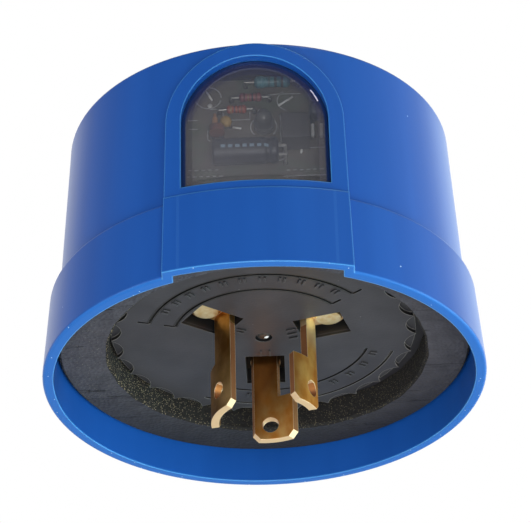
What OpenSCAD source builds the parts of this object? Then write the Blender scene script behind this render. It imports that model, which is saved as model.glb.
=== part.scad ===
// Plug-in photocell switch for outdoor lighting.
// Millimetres, Z up. The origin is on the plug's axis, on the base's lower (mating) face.
// The cap stands above it, the skirt and three locking blades hang below, the window faces -Y.

/* [Cap] */
// Outer diameter of the rim
rim_d = 82; // [80:0.5:86]
// How far the rim reaches below the mating face
rim_drop = 10; // [8:0.5:12]
// Height of the ledge on top of the skirt
ledge_h = 6; // [5.5:0.25:6.5]
// Height of the flat top
cap_h = 41; // [39:0.2:46]
// Taper of the skirt, on the radius
skirt_draft = 0.95; // [0.4:0.05:1.2]
// Width of the ledge
ledge_w = 1.7; // [1:0.1:2]
// Taper of the body, on the radius
body_draft = 1.45; // [0.8:0.05:2]
// Wall of the cap
cap_wall = 2; // [1.6:0.1:2.2]
// Radius of the top edge
top_edge_r = 0.8; // [0.4:0.1:1.4]
// Radius of the rim's outer edge
rim_edge_r = 0.5; // [0.2:0.1:0.8]
// Radius of the ledge's edge
ledge_edge_r = 0.4; // [0.2:0.1:0.6]
// Diameter of the screw post under the top
post_d = 6.4; // [5:0.2:7.2]

/* [Window boss] */
// Width of the boss at the rim
boss_rim_w = 33; // [31:0.5:34]
// Width of the boss where its arch starts
boss_w = 32; // [31.5:0.5:33]
// Radius of the boss's bowed face at the rim
face_r = 54; // [50:1:60]
// How far the bowed face stands in front of the rim's circle
boss_proud = 1; // [0.5:0.1:1.6]
// Taper of the panel under the window
panel_draft = 0.9; // [0.4:0.1:1.2]
// Depth of the step from that panel to the window frame
panel_step = 0.95; // [0.5:0.05:1.2]
// Taper of the window frame
frame_draft = 0.75; // [0.4:0.05:1]
// Thickness of the window frame
frame_t = 1.7; // [1.4:0.1:2.2]
// Thickness of the panel under the window
panel_t = 1.7; // [1.4:0.1:2]
// Side wall of the boss
boss_wall = 1.8; // [1.4:0.1:2]
// Width of the window
window_w = 26.4; // [22:0.4:27]
// Height of the window's sill
sill_h = 8.2; // [7.8:0.2:10]
// Height of the cap's wall above the boss
top_land = 2.2; // [1:0.2:3]

/* [Lens] */
// Thickness of the lens
lens_t = 1.5; // [1.2:0.1:2]
// How far the lens laps behind the sill
lens_lap = 0.8; // [0.6:0.1:1]
// Height of the raised middle of the lens
pad_rise = 0.6; // [0.4:0.1:1]
// Width of the border around the raised middle
pad_border = 1.9; // [1.2:0.1:2.4]

/* [Base plate] */
// Thickness of the base plate
plate_t = 3.4; // [3.2:0.1:3.8]
// Height of the flange's lower face
flange_low = 2.2; // [1.8:0.1:2.6]
// Height of the seat in the cap that the flange meets
seat_h = 4; // [3.9:0.1:4.4]
// Space between the scalloped boss and the gasket
gasket_gap = 1; // [0.8:0.1:1.6]
// Number of scallops
scallops = 28; // [20:1:32]
// Radius of a scallop
scallop_r = 3.75; // [3:0.05:4]
// How far a scallop cuts into the boss's edge
scallop_deep = 1.8; // [1:0.1:2.2]
// Height of a scallop's floor above the mating face
scallop_h = 0.8; // [0.5:0.1:1.6]
// Width of a blade slot
slot_w = 7.4; // [7.2:0.1:8]
// Inner end of a blade slot
slot_in = 6.9; // [6:0.1:7.2]
// Outer end of a blade slot
slot_out = 16; // [15.9:0.1:16.3]
// Outer end of the rear slot
rear_slot_out = 17.1; // [15.9:0.1:18]
// Width of the engraved lines
line_w = 0.5; // [0.3:0.1:0.8]
// Depth of the engraved lines
line_deep = 0.5; // [0.3:0.05:0.7]
// Distance of the front band's outer line from the boss's edge
front_inset = 6.5; // [6:0.1:7]
// Distance of the rear band's outer line from the boss's edge
rear_inset = 3.5; // [3:0.1:4.5]
// Width of a band between its two lines
band_w = 5; // [4.5:0.1:5.1]

/* [Gasket] */
// Lower face of the gasket below the mating face
gasket_drop = 3.3; // [2:0.1:5]
// Width of the gasket's ring
gasket_w = 9; // [7:0.2:9.6]
// Offset of the gasket's hole to the right
gasket_shift = 0.5; // [0:0.1:0.7]

/* [Blades] */
// Inner radius of the ring the blades stand on
blade_in_r = 8.55; // [8.2:0.05:8.6]
// Thickness of the blades
blade_t = 1.45; // [1.2:0.05:1.5]
// Depth of the hooks' shoulders below the mating face
hook_top = 8; // [7:0.1:9]
// Reach of the line blade below the mating face
line_len = 17.6; // [16:0.1:19]
// Reach of the load blade
load_len = 17; // [16:0.1:19]
// Reach of the neutral blade
neutral_len = 18.3; // [16:0.1:19]
// Neck width of the line blade
line_neck = 3.6; // [3:0.1:3.8]
// Neck width of the load blade
load_neck = 5; // [4:0.1:5.2]
// Neck width of the neutral blade
neutral_neck = 4.4; // [3.6:0.1:4.8]
// Hook width of the line blade
line_hook = 3.3; // [2:0.1:4]
// Hook width of the load blade
load_hook = 3.3; // [2:0.1:4]
// Hook width of the neutral blade
neutral_hook = 6.3; // [4:0.1:7]
// Chamfer of the tips
tip_chamfer = 1.1; // [0.5:0.1:1.5]
// Diameter of the hole in each blade
blade_hole_d = 3.1; // [2.4:0.1:3.4]
// Depth of that hole below the mating face
blade_hole_drop = 14; // [12.5:0.1:14.2]
// Diameter of the rivet heads
rivet_head_d = 5.1; // [4.4:0.1:5.4]
// Diameter of the rivet shanks
rivet_d = 2.5; // [2:0.1:2.8]
// Radius of the circle the rivets stand on
rivet_r = 12.8; // [12.6:0.1:13]

/* [Inside] */
// Thickness of the terminal board
terminal_t = 1.6; // [1.2:0.1:2]
// Thickness of the circuit board
board_t = 1.6; // [1:0.1:2]
// Width of the circuit board
board_w = 33; // [31:0.5:33]
// Space between the lens and the circuit board
board_gap = 7.3; // [7:0.1:8]
// Corner radius at the top of the circuit board
board_corner_r = 10; // [9:0.5:12]
// Diameter of the component leads
lead_d = 0.6; // [0.5:0.05:0.8]
// Diameter of the filter capacitor
filter_d = 4.9; // [4:0.1:5]
// Length of the filter capacitor
filter_len = 12; // [10:0.1:12.2]
// Diameter of the light sensor
sensor_d = 3; // [2.6:0.1:3.4]
// Length of the light sensor in front of the board
sensor_len = 4.7; // [4:0.1:5]
// Width of the relay
relay_w = 19; // [15:0.5:20]
// Height of the relay
relay_h = 15.3; // [12:0.1:16]
// Depth of the relay
relay_deep = 15.5; // [12:0.1:18]

/* [Hidden] */
$fn = 96;
// A cut runs this far past the face it leaves
past = 1;
// Depth of the upright slabs that shape the boss, more than the rim's radius
slab_deep = rim_d * 0.75;
// Clearance between pieces that slide together
fit = 0.3;
// Clearance between pieces that are pushed together
snug = 0.1;

// Cap
rim_r = rim_d / 2;
skirt_top_r = rim_r - skirt_draft;
body_low_r = skirt_top_r - ledge_w;
body_top_r = body_low_r - body_draft;
skirt_in_r = rim_r - cap_wall;
seat_r = skirt_in_r - 0.4;
body_in_low_r = body_low_r - cap_wall;
body_in_top_r = body_top_r - cap_wall;
ceiling_h = cap_h - cap_wall;

// Boss: vertical cones about one axis make its bowed faces
face_y = face_r - rim_r - boss_proud;
boss_half = boss_w / 2;
boss_rim_half = boss_rim_w / 2;
boss_top = cap_h - top_land;
arch_h = boss_top - boss_half;
panel_top_r = face_r - panel_draft;
frame_low_r = panel_top_r - panel_step;
frame_top_r = frame_low_r - frame_draft;
frame_top_h = boss_top + 2;
hollow_half = boss_half - boss_wall;
hollow_rim_half = boss_rim_half - boss_wall;

// Lens
lens_half = hollow_half - 2 * snug;
lens_low = sill_h - lens_lap;
lens_inset = frame_t + snug;
pad_half = window_w / 2 - pad_border;
sill_shelf_t = 1.2;
shelf_half = boss_half - 0.6;

// Gasket
gasket_r = seat_r - snug;
gasket_in_r = gasket_r - gasket_w;
gasket_back = 0.4;

// Base plate
boss_d = 2 * (gasket_in_r - gasket_gap);
front_out_r = boss_d / 2 - front_inset;
rear_out_r = boss_d / 2 - rear_inset;
front_turns = [-163, -41];
rear_turns = [15, 119];
flange_r = seat_r - fit;
pan_r = body_in_low_r - 1.2;
scallop_ring_r = boss_d / 2 + scallop_r - scallop_deep;
slot_turns = [343, 90, 215.5];
slot_ends = [slot_out, rear_slot_out, slot_out];
line_end = 2.2;
screw_head_d = 3;
screw_well_d = screw_head_d + 0.2;
screw_well = 1.4;
screw_d = 1.7;
screw_len = 14;

// Blades: turns are measured at the middle of the blade's thickness
blade_mid_r = blade_in_r + blade_t / 2;
blade_out_r = blade_in_r + blade_t;
line_edge = 3;
load_edge = 15.3;
neutral_edge = 17.5;
tongue_half = 2.9;
tongue_neck_half = 2.3;
tongue_low = plate_t - blade_t;
rivet_head_t = 0.5;

// Inside
terminal_top = plate_t + terminal_t;
terminal_r = pan_r - fit;
lens_back_y = face_y - (frame_low_r + frame_top_r) / 2 + lens_inset + lens_t;
board_y = lens_back_y + board_gap;
board_back_y = board_y + board_t;
board_half = board_w / 2;
board_top = ceiling_h - 0.7;
tab_w = 6;
tab_x = 9;
lead_hole_d = lead_d + fit;
lead_past = 0.8;
// Places on the board as [across, up], from the distance below its top
filter_at = on_board(-1.9, 18.1);
sensor_at = on_board(1.6, 11);
film_at = on_board(7.3, 13.7);
dropper_at = on_board(3.3, 1.7);
bias_at = on_board(-0.8, 4.9);
gate_at = on_board(-3.4, 7.5);
bead_at = on_board(-5.4, 10.6);
glass_at = on_board(-7.4, 10);
disc_at = on_board(-7, 12.8);
arrester_at = on_board(11.2, 9.3);
// Axial parts as [body length, body diameter, hole spacing]
dropper_size = [6.6, 2.3, 10];
bias_size = [4.1, 1.7, 7];
gate_size = [3.6, 1.6, 6.4];
glass_size = [1.6, 1.1, 3.2];
filter_r = filter_d / 2;
filter_lift = filter_r + fit;
filter_lead_x = filter_at[0] + filter_len / 2 + 1.2;
filter_lead_gap = 2;
filter_lead_run = 1.6;
filter_edge = 0.4;
filter_groove = 0.3;
filter_groove_at = filter_len - 2.4;
filter_groove_w = 1.2;
film_size = [5, 4, 5.4];
film_lead_gap = 3;
bead_d = 2.2;
bead_lead_gap = 1.3;
disc_d = 2.8;
disc_t = 1.3;
disc_lead_gap = 1.6;
arrester_d = 3.8;
arrester_t = 2.6;
arrester_lead_gap = 1.6;
arrester_foot = arrester_at[1] - 4.2;
sensor_lead_gap = 1.3;
relay_low = terminal_top + 3;
relay_pins = [[-7, 2], [7, 2], [-7, 5], [7, 5], [0, 5]];
relay_pin_d = 1;
wire_d = 1.3;
wire_h = [terminal_top + 4, terminal_top + 1.8, terminal_top + 2];
wire_end_x = [12.4, 14.4, -12.4];
wire_stub = 2.5;

// Holes for every lead, as [across, up, diameter]
lead_holes = concat(
    ends_across(dropper_at, dropper_size[2]),
    ends_across(bias_at, bias_size[2]),
    ends_across(gate_at, gate_size[2]),
    ends_up(glass_at, glass_size[2]),
    ends_up([filter_lead_x, filter_at[1]], filter_lead_gap),
    ends_up(film_at, film_lead_gap),
    ends_across(bead_at, bead_lead_gap),
    ends_across(disc_at, disc_lead_gap),
    ends_across([arrester_at[0], arrester_foot], arrester_lead_gap),
    ends_across(sensor_at, sensor_lead_gap));

function on_board(across, drop) = [across, board_top - drop];
function ends_across(at, gap) = [[at[0] - gap / 2, at[1]], [at[0] + gap / 2, at[1]]];
function ends_up(at, gap) = [[at[0], at[1] - gap / 2], [at[0], at[1] + gap / 2]];
function turn_of(width) = width / blade_mid_r * 180 / PI;

// An upright slab with an arched top, reaching from Y 0 to -depth
module arch_slab(low_half, half, low, spring, depth) {
    rotate([90, 0, 0])
        linear_extrude(depth)
            polygon([[-low_half, low], [low_half, low], [half, spring], [-half, spring]]);
    intersection() {
        translate([0, 0, spring])
            rotate([90, 0, 0])
                cylinder(r = half, h = depth);
        translate([-2 * half, -depth - past, low])
            cube([4 * half, depth + 2 * past, spring + 2 * half - low]);
    }
}

// Everything inside the bowed face of the frame, less an inset
module frame_bow(inset) {
    translate([0, face_y, ledge_h])
        cylinder(r1 = frame_low_r - inset, r2 = frame_top_r - inset, h = frame_top_h - ledge_h);
}

// Everything inside the bowed face of the panel below the frame, less an inset
module panel_bow(inset, drop) {
    translate([0, face_y, -rim_drop - drop])
        cylinder(r = face_r - inset, h = drop + 0.01);
    translate([0, face_y, -rim_drop])
        cylinder(r1 = face_r - inset, r2 = panel_top_r - inset, h = rim_drop + ledge_h);
}

module cap_outside() {
    rotate_extrude()
        polygon(concat(
            [[0, -rim_drop]],
            [for (a = [0:22.5:90]) [rim_r - rim_edge_r * (1 - sin(a)), -rim_drop + rim_edge_r * (1 - cos(a))]],
            [for (a = [0:30:90]) [skirt_top_r - ledge_edge_r * (1 - cos(a)), ledge_h - ledge_edge_r * (1 - sin(a))]],
            [[body_low_r, ledge_h]],
            [for (a = [0:15:90]) [body_top_r - top_edge_r * (1 - cos(a)), cap_h - top_edge_r * (1 - sin(a))]],
            [[0, cap_h]]));
}

module cap_inside() {
    rotate_extrude()
        polygon([[0, -rim_drop - past], [skirt_in_r, -rim_drop - past], [skirt_in_r, -rim_drop],
                 [seat_r, seat_h], [body_in_low_r, seat_h], [body_in_top_r, ceiling_h], [0, ceiling_h]]);
}

module boss_outside() {
    intersection() {
        arch_slab(boss_rim_half, boss_half, -rim_drop, arch_h, slab_deep);
        union() {
            panel_bow(0, 0);
            frame_bow(0);
        }
    }
}

module boss_inside() {
    intersection() {
        arch_slab(hollow_rim_half, hollow_half, -rim_drop - past, arch_h, slab_deep);
        union() {
            panel_bow(panel_t, 2);
            frame_bow(frame_t);
        }
    }
}

// Shelf that the lens stands on
module sill_shelf() {
    difference() {
        intersection() {
            translate([-shelf_half, -slab_deep, lens_low - sill_shelf_t])
                cube([2 * shelf_half, slab_deep, sill_shelf_t]);
            frame_bow(1);
        }
        frame_bow(lens_inset + lens_t + 0.8);
    }
}

module cap() {
    color("royalblue") {
        difference() {
            union() {
                cap_outside();
                boss_outside();
            }
            cap_inside();
            boss_inside();
            arch_slab(window_w / 2, window_w / 2, sill_h, arch_h, slab_deep);
        }
        sill_shelf();
        difference() {
            translate([0, 0, terminal_top])
                cylinder(d = post_d, h = ceiling_h + 0.5 - terminal_top);
            translate([0, 0, terminal_top - past])
                cylinder(d = screw_d, h = screw_len + past);
        }
    }
}

module window_lens() {
    color("dimgray", 0.6)
        difference() {
            union() {
                intersection() {
                    arch_slab(lens_half, lens_half, lens_low, arch_h, slab_deep);
                    frame_bow(lens_inset);
                }
                intersection() {
                    arch_slab(pad_half, pad_half, sill_h + pad_border, arch_h, slab_deep);
                    frame_bow(lens_inset - pad_rise);
                }
            }
            frame_bow(lens_inset + lens_t);
        }
}

// Engraved arc between two turns, with short radial ends where they are wanted
module engraved_arc(r, turns, ends) {
    rotate([0, 0, turns[0]])
        rotate_extrude(angle = turns[1] - turns[0])
            translate([r - line_w / 2, -past])
                square([line_w, past + line_deep]);
    for (t = ends)
        rotate([0, 0, t])
            translate([r, -line_w / 2, -past])
                cube([line_end, line_w, past + line_deep]);
}

module base_plate() {
    color("#202022")
        difference() {
            union() {
                difference() {
                    cylinder(d = boss_d, h = plate_t);
                    for (k = [0:scallops - 1])
                        rotate([0, 0, 1 + k * 360 / scallops + 180 / scallops])
                            translate([scallop_ring_r, 0, -past])
                                cylinder(r = scallop_r, h = scallop_h + past);
                }
                translate([0, 0, flange_low])
                    cylinder(r = flange_r, h = seat_h - flange_low);
                intersection() {
                    translate([-hollow_half + fit, -slab_deep, flange_low])
                        cube([2 * (hollow_half - fit), slab_deep, seat_h - flange_low]);
                    translate([0, face_y, flange_low])
                        cylinder(r = panel_top_r - panel_t - fit, h = seat_h - flange_low);
                }
            }
            translate([0, 0, plate_t])
                cylinder(r = pan_r, h = seat_h);
            for (k = [0:2])
                rotate([0, 0, slot_turns[k]])
                    translate([slot_in, -slot_w / 2, -past])
                        cube([slot_ends[k] - slot_in, slot_w, plate_t + 2 * past]);
            translate([0, 0, -past])
                cylinder(d = screw_well_d, h = screw_well + past);
            cylinder(d = screw_d + fit, h = plate_t + past);
            for (inward = [0, band_w]) {
                engraved_arc(front_out_r - inward, front_turns, front_turns);
                engraved_arc(rear_out_r - inward, rear_turns, []);
            }
        }
}

module gasket() {
    color("#2b2b2d")
        translate([0, 0, -gasket_drop])
            difference() {
                cylinder(r = gasket_r, h = gasket_drop + flange_low);
                translate([gasket_shift, gasket_back, -past])
                    cylinder(r = gasket_in_r, h = gasket_drop + flange_low + 2 * past);
            }
}

// A wall on the blades' ring from turn a to turn b, grown by some on its two round faces
module ring_wall(a, b, low, high, grow) {
    rotate([0, 0, a])
        rotate_extrude(angle = b - a)
            translate([blade_in_r - grow, low])
                square([blade_t + 2 * grow, high - low]);
}

// A blade: its straight edge is at turn edge, its hook reaches back from the neck
module blade(slot, edge, neck, hook, reach, hole_turn) {
    neck_back = edge - turn_of(neck);
    hook_back = neck_back - turn_of(hook);
    color("#b08d46")
        difference() {
            union() {
                rotate([0, 0, slot]) {
                    difference() {
                        ring_wall(hook_back, edge, -reach, plate_t, 0);
                        ring_wall(hook_back - 10, neck_back, -hook_top, plate_t + past, past);
                    }
                    translate([blade_in_r + 0.5, -tongue_neck_half, tongue_low])
                        cube([rivet_r - blade_in_r - 0.5, 2 * tongue_neck_half, blade_t]);
                    translate([rivet_r, 0, tongue_low])
                        cylinder(r = tongue_half, h = blade_t);
                }
            }
            rotate([0, 0, slot]) {
                translate([rivet_r, 0, tongue_low - past])
                    cylinder(d = rivet_d + snug, h = blade_t + 2 * past);
                rotate([0, 0, hole_turn])
                    translate([0, 0, -blade_hole_drop])
                        rotate([0, 90, 0])
                            cylinder(d = blade_hole_d, h = 20);
                for (t = [edge, hook_back])
                    rotate([0, 0, t])
                        translate([blade_in_r - past, 0, -reach])
                            rotate([45, 0, 0])
                                translate([0, -tip_chamfer * 0.7071, -tip_chamfer * 0.7071])
                                    cube([blade_t + 2 * past, tip_chamfer * 1.4142, tip_chamfer * 1.4142]);
            }
        }
}

module line_blade() {
    blade(slot_turns[0], line_edge, line_neck, line_hook, line_len, -11.5);
}

module load_blade() {
    blade(slot_turns[1], load_edge, load_neck, load_hook, load_len, -5);
}

module neutral_blade() {
    blade(slot_turns[2], neutral_edge, neutral_neck, neutral_hook, neutral_len, -3.5);
}

module blade_rivets() {
    color("#c8a860")
        for (t = slot_turns)
            rotate([0, 0, t])
                translate([rivet_r, 0, 0]) {
                    translate([0, 0, tongue_low - rivet_head_t])
                        cylinder(d1 = rivet_head_d - 0.5, d2 = rivet_head_d, h = rivet_head_t);
                    translate([0, 0, tongue_low - 0.1])
                        cylinder(d = rivet_d, h = terminal_top - tongue_low + 0.2);
                    translate([0, 0, terminal_top])
                        cylinder(d1 = rivet_d + 1.6, d2 = rivet_d + 1, h = rivet_head_t);
                }
}

module centre_screw() {
    color("silver") {
        rotate_extrude()
            polygon([[0, screw_well - 1.3], [0.8, screw_well - 1.2], [1.25, screw_well - 1],
                     [screw_head_d / 2, screw_well - 0.7], [screw_head_d / 2, screw_well],
                     [screw_d / 2, screw_well], [screw_d / 2, terminal_top + screw_len - 2],
                     [0, terminal_top + screw_len - 1]]);
    }
}

module terminal_board() {
    color("#6b4a2c")
        difference() {
            translate([0, 0, plate_t])
                cylinder(r = terminal_r, h = terminal_t);
            for (t = slot_turns)
                rotate([0, 0, t])
                    translate([rivet_r, 0, plate_t - past])
                        cylinder(d = rivet_d + snug, h = terminal_t + 2 * past);
            translate([0, 0, plate_t - past])
                cylinder(d = screw_d + fit, h = terminal_t + 2 * past);
            for (s = [-1, 1])
                translate([s * tab_x - tab_w / 2 - snug, board_y - snug, plate_t - past])
                    cube([tab_w + 2 * snug, board_t + 2 * snug, terminal_t + 2 * past]);
        }
}

module circuit_board() {
    color("#3d5a45")
        difference() {
            union() {
                translate([-board_half, board_y, terminal_top])
                    cube([board_w, board_t, board_top - board_corner_r - terminal_top]);
                translate([-board_half + board_corner_r, board_y, terminal_top])
                    cube([board_w - 2 * board_corner_r, board_t, board_top - terminal_top]);
                for (s = [-1, 1]) {
                    translate([s * (board_half - board_corner_r), board_back_y, board_top - board_corner_r])
                        rotate([90, 0, 0])
                            cylinder(r = board_corner_r, h = board_t);
                    translate([s * tab_x - tab_w / 2, board_y, plate_t])
                        cube([tab_w, board_t, terminal_t + 1]);
                }
            }
            for (h = lead_holes)
                translate([h[0], board_back_y + past, h[1]])
                    rotate([90, 0, 0])
                        cylinder(d = lead_hole_d, h = board_t + 2 * past);
            for (p = relay_pins)
                translate([p[0], board_back_y + past, relay_low + p[1]])
                    rotate([90, 0, 0])
                        cylinder(d = relay_pin_d + fit, h = board_t + 2 * past);
        }
}

// A lead from a height in front of the board through its hole
module lead(at, lift) {
    translate([at[0], board_back_y + lead_past, at[1]])
        rotate([90, 0, 0])
            cylinder(d = lead_d, h = board_t + lead_past + lift);
}

// An axial part lying across the board, with bent leads
module axial(at, size) {
    lift = size[1] / 2 + fit;
    bulge = size[1] * 0.5;
    translate([at[0], board_y - lift, at[1]]) {
        rotate([0, 90, 0])
            rotate_extrude()
                polygon([[0, -size[0] / 2], [size[1] * 0.3, -size[0] / 2], [bulge, -size[0] * 0.42],
                         [bulge, -size[0] * 0.28], [bulge * 0.86, -size[0] * 0.2],
                         [bulge * 0.86, size[0] * 0.2], [bulge, size[0] * 0.28],
                         [bulge, size[0] * 0.42], [size[1] * 0.3, size[0] / 2], [0, size[0] / 2]]);
        translate([-size[2] / 2, 0, 0])
            rotate([0, 90, 0])
                cylinder(d = lead_d, h = size[2]);
        for (s = [-1, 1])
            translate([s * size[2] / 2, 0, 0])
                sphere(d = lead_d);
    }
    for (e = ends_across(at, size[2]))
        lead(e, lift);
}

module dropper_resistor() {
    color("#4f8f95")
        axial(dropper_at, dropper_size);
}

module bias_resistor() {
    color("#a8605f")
        axial(bias_at, bias_size);
}

module gate_resistor() {
    color("#b5583f")
        axial(gate_at, gate_size);
}

module glass_diode() {
    lift = glass_size[1] / 2 + fit;
    color("#c08b5a") {
        translate([glass_at[0], board_y - lift, glass_at[1] - glass_size[0] / 2])
            cylinder(d = glass_size[1], h = glass_size[0]);
        translate([glass_at[0], board_y - lift, glass_at[1] - glass_size[2] / 2])
            cylinder(d = lead_d, h = glass_size[2]);
        for (e = ends_up(glass_at, glass_size[2])) {
            translate([e[0], board_y - lift, e[1]])
                sphere(d = lead_d);
            lead(e, lift);
        }
    }
}

module light_sensor() {
    color("#3b3a3e") {
        translate([sensor_at[0], board_y - 0.4, sensor_at[1]])
            rotate([90, 0, 0]) {
                cylinder(d = sensor_d + 0.9, h = 0.9);
                cylinder(d = sensor_d, h = sensor_len - 0.4 - sensor_d / 2);
                translate([0, 0, sensor_len - 0.4 - sensor_d / 2])
                    sphere(d = sensor_d);
            }
        for (e = ends_across(sensor_at, sensor_lead_gap))
            lead(e, 0.6);
    }
}

module filter_capacitor() {
    color("#1d1e22") {
        translate([filter_at[0] - filter_len / 2, board_y - filter_lift, filter_at[1]])
            rotate([0, 90, 0])
                rotate_extrude()
                    polygon([[0, 0], [filter_r - filter_edge, 0], [filter_r, filter_edge],
                             [filter_r, filter_groove_at],
                             [filter_r - filter_groove, filter_groove_at + filter_groove_w / 3],
                             [filter_r - filter_groove, filter_groove_at + filter_groove_w * 2 / 3],
                             [filter_r, filter_groove_at + filter_groove_w],
                             [filter_r, filter_len - filter_edge], [filter_r - filter_edge, filter_len],
                             [0, filter_len]]);
        for (e = ends_up([filter_lead_x, filter_at[1]], filter_lead_gap)) {
            translate([filter_lead_x - filter_lead_run, board_y - filter_lift, e[1]])
                rotate([0, 90, 0])
                    cylinder(d = lead_d, h = filter_lead_run);
            translate([filter_lead_x, board_y - filter_lift, e[1]])
                sphere(d = lead_d);
            lead(e, filter_lift);
        }
    }
}

module film_capacitor() {
    color("#3a3740") {
        translate([film_at[0] - film_size[0] / 2, board_y - film_size[1] - fit, film_at[1] - film_size[2] / 2])
            cube(film_size);
        for (e = ends_up(film_at, film_lead_gap))
            lead(e, 1);
    }
}

module bead_capacitor() {
    color("#c9a94f") {
        translate([bead_at[0], board_y - 0.6 - bead_d / 2, bead_at[1]])
            sphere(d = bead_d);
        for (e = ends_across(bead_at, bead_lead_gap))
            lead(e, 1.4);
    }
}

module disc_capacitor() {
    color("#8a4a36") {
        translate([disc_at[0], board_y - 0.8 - disc_d / 2, disc_at[1] - disc_t / 2])
            cylinder(d = disc_d, h = disc_t);
        for (e = ends_across(disc_at, disc_lead_gap))
            lead(e, 1.6);
    }
}

// The disc stands edge on; its leads run down beside the board before they turn in
module surge_arrester() {
    lift = arrester_d / 2 + 0.3;
    drop_lift = 0.9;
    color("#3c4048") {
        translate([arrester_at[0] - arrester_t / 2, board_y - lift, arrester_at[1]])
            rotate([0, 90, 0])
                rotate_extrude()
                    polygon([[0, 0], [arrester_d / 2 - 0.7, 0], [arrester_d / 2 - 0.15, 0.5],
                             [arrester_d / 2, arrester_t / 2], [arrester_d / 2 - 0.15, arrester_t - 0.5],
                             [arrester_d / 2 - 0.7, arrester_t], [0, arrester_t]]);
        for (e = ends_across([arrester_at[0], arrester_foot], arrester_lead_gap)) {
            translate([e[0], board_y - drop_lift, arrester_foot])
                cylinder(d = lead_d, h = arrester_at[1] - arrester_foot - 1);
            translate([e[0], board_y - drop_lift, arrester_foot])
                sphere(d = lead_d);
            lead(e, drop_lift);
        }
    }
}

// Sealed box behind the board, with its pins through the board
module relay() {
    color("#d8d8d2") {
        translate([-relay_w / 2, board_back_y + 1.2, relay_low])
            cube([relay_w, relay_deep, relay_h]);
        for (p = relay_pins)
            translate([p[0], board_back_y + 1.3, relay_low + p[1]])
                rotate([90, 0, 0])
                    cylinder(d = relay_pin_d, h = 1.3 + board_t + 0.7);
    }
}

// One wire from each rivet to the back of the circuit board
module link_wires() {
    color("#b0b4b8")
        for (k = [0:2])
            wire(slot_turns[k], wire_h[k], wire_end_x[k]);
}

// Up from the rivet, across, then straight onto the board
module wire(turn, h, end_x) {
    start = [rivet_r * cos(turn), rivet_r * sin(turn)];
    run = [end_x - start[0], board_back_y + wire_stub - start[1]];
    foot = terminal_top + rivet_head_t;
    translate([start[0], start[1], foot])
        cylinder(d = wire_d, h = h - foot);
    translate([start[0], start[1], h]) {
        sphere(d = wire_d + 0.2);
        rotate([0, 0, atan2(run[1], run[0])])
            rotate([0, 90, 0])
                cylinder(d = wire_d, h = sqrt(run[0] * run[0] + run[1] * run[1]));
        translate([run[0], run[1], 0]) {
            sphere(d = wire_d + 0.2);
            rotate([90, 0, 0])
                cylinder(d = wire_d, h = wire_stub);
        }
    }
}

cap();
window_lens();
base_plate();
gasket();
line_blade();
load_blade();
neutral_blade();
blade_rivets();
centre_screw();
terminal_board();
circuit_board();
light_sensor();
filter_capacitor();
film_capacitor();
dropper_resistor();
bias_resistor();
gate_resistor();
bead_capacitor();
glass_diode();
disc_capacitor();
surge_arrester();
relay();
link_wires();
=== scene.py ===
# %% [markdown]
# # A plug-in photocell switch
# This lesson dresses a street-light photocell switch: a blue moulded cap with an arched smoked
# window, and under it a black scalloped base, a foam ring and three brass locking blades.
# The solids come from the construction model in metres. Blender gives them their finish and adds
# what is too soft or too thin for a solid: the cut foam, the board's print and solder, and the
# raised marks on the base.

# %% The frame
import math

import bmesh
import bpy
from mathutils import Matrix, Vector, noise


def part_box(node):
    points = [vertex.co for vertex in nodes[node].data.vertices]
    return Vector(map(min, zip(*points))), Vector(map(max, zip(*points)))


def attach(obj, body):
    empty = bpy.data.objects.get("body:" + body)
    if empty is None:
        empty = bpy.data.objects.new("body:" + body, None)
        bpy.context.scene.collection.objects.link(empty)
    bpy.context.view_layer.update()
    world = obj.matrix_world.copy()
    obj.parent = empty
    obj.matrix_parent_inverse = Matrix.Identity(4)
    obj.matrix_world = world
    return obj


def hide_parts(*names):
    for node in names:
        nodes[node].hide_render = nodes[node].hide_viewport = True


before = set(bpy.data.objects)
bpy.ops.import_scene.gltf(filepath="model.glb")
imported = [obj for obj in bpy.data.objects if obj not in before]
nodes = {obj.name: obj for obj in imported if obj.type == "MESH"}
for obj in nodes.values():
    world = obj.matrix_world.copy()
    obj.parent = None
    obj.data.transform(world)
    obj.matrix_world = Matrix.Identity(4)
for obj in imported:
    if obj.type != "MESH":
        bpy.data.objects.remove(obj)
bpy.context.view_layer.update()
MM = 0.001

# %% [markdown]
# ## Camera
# The switch is seen from below and in front, so the window and the plug both show. A long lens
# keeps the rim's two sides nearly parallel. The place and the tilt were found by matching the rim's
# ellipse and the window's corners. The view is built from the direction the camera looks in and
# from its own up direction, which keeps the small roll of the picture.

# %% Camera
LENS_MM, SENSOR_MM = 156.4, 36
SHIFT_RIGHT, SHIFT_UP = 0.0064, 0.0162
NEAREST = 0.01
eye = Vector((6.5, -371.0, -221.5)) * MM
look = Vector((-0.01472, 0.84317, 0.53745)).normalized()
camera_up = Vector((0.03469, -0.53675, 0.84303)).normalized()
camera_right = look.cross(camera_up).normalized()
camera_up = camera_right.cross(look)

camera = bpy.data.objects.new("camera", bpy.data.cameras.new("camera"))
bpy.context.scene.collection.objects.link(camera)
view_turn = Matrix((camera_right, camera_up, -look)).transposed()
camera.matrix_world = Matrix.Translation(eye) @ view_turn.to_4x4()
camera.data.sensor_fit = "HORIZONTAL"
camera.data.sensor_width = SENSOR_MM
camera.data.lens = LENS_MM
camera.data.shift_x = SHIFT_RIGHT
camera.data.shift_y = SHIFT_UP
camera.data.clip_start = NEAREST
bpy.context.scene.camera = camera
print("camera looks up by", round(math.degrees(math.asin(look.z)), 1), "degrees")

# %% [markdown]
# ## Colours and nodes
# Colours are written as sRGB hex values, as they are picked from a swatch, and one function turns
# them to the linear values that shaders work in. One small function adds a shader node: a socket
# given as an input is linked, and any other value is set. The Mix node has sockets for several
# kinds of data under the same names, so its colour sockets are picked by their place in the list.

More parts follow.
